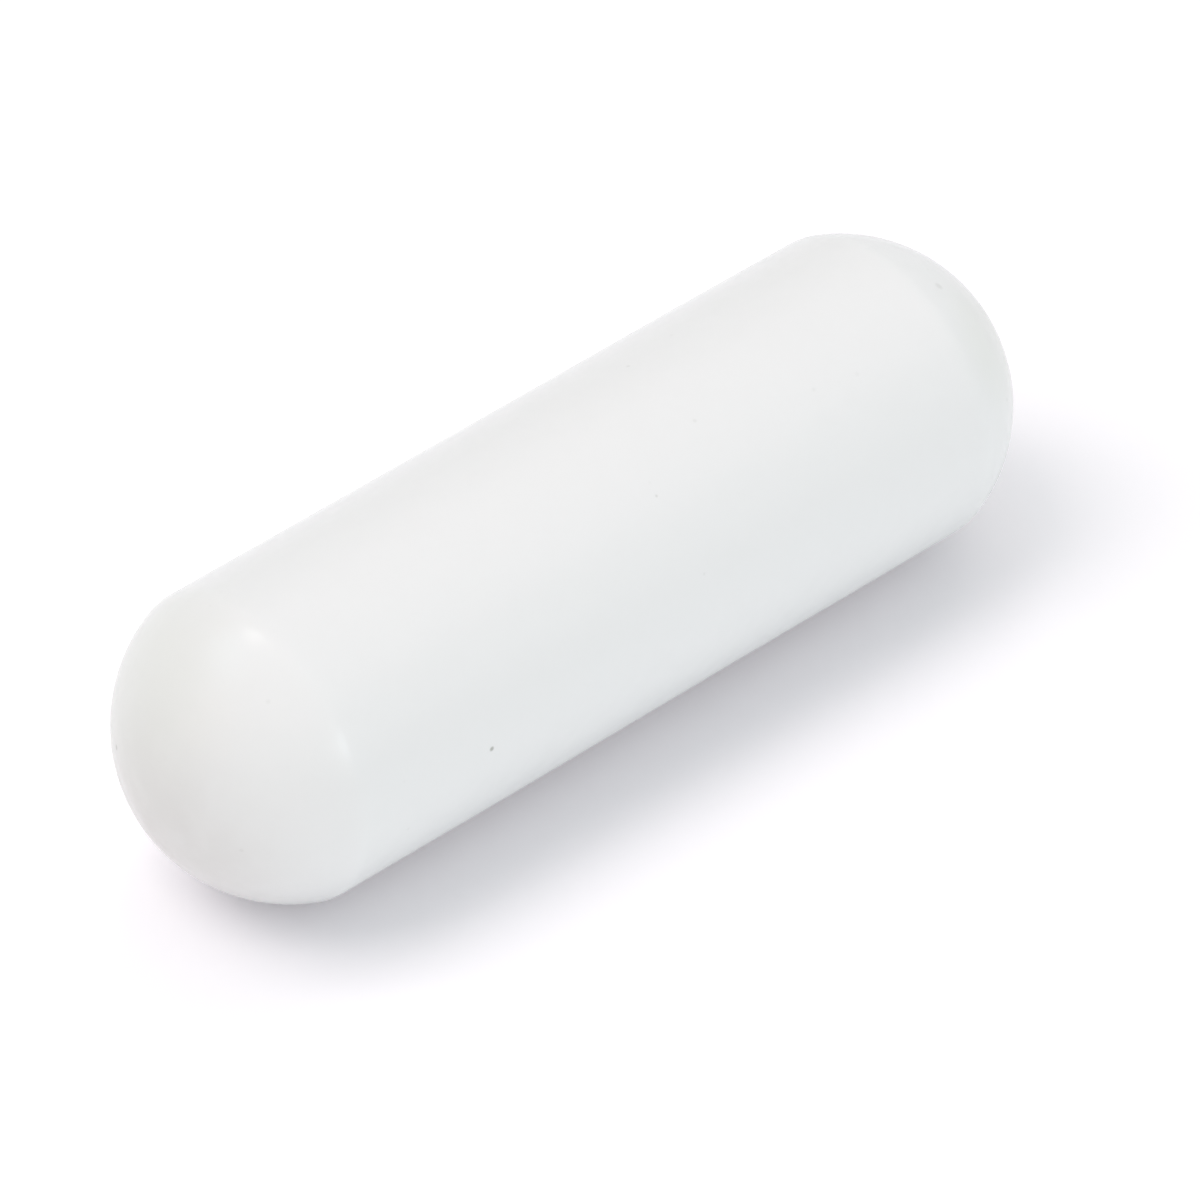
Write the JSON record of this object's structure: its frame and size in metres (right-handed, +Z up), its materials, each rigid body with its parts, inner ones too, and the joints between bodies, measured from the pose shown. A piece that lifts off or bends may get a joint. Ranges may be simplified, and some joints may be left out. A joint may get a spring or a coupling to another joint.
{
  "type": "magnetic stir bar",
  "caption": "Plain round stirring bar with domed ends: a rod magnet sealed in a seamless PTFE jacket, spun in a vessel by a magnetic stirrer's turning field.",
  "frame": {"origin": "the middle of the bar, on its axis", "axes": "+X along the bar's axis; +Z up as the bar lies"},
  "size_m": [0.0254, 0.0078, 0.0078],
  "materials": {
    "ptfe": "white PTFE as moulded, waxy satin, with the faint scuffs and specks of handling",
    "alnico": "cast Alnico rod, centreless ground on its side and sawn on its ends"
  },
  "bodies": {
    "root": {"ptfe_jacket": "ptfe", "bar_magnet": "alnico"}
  },
  "joints": []
}
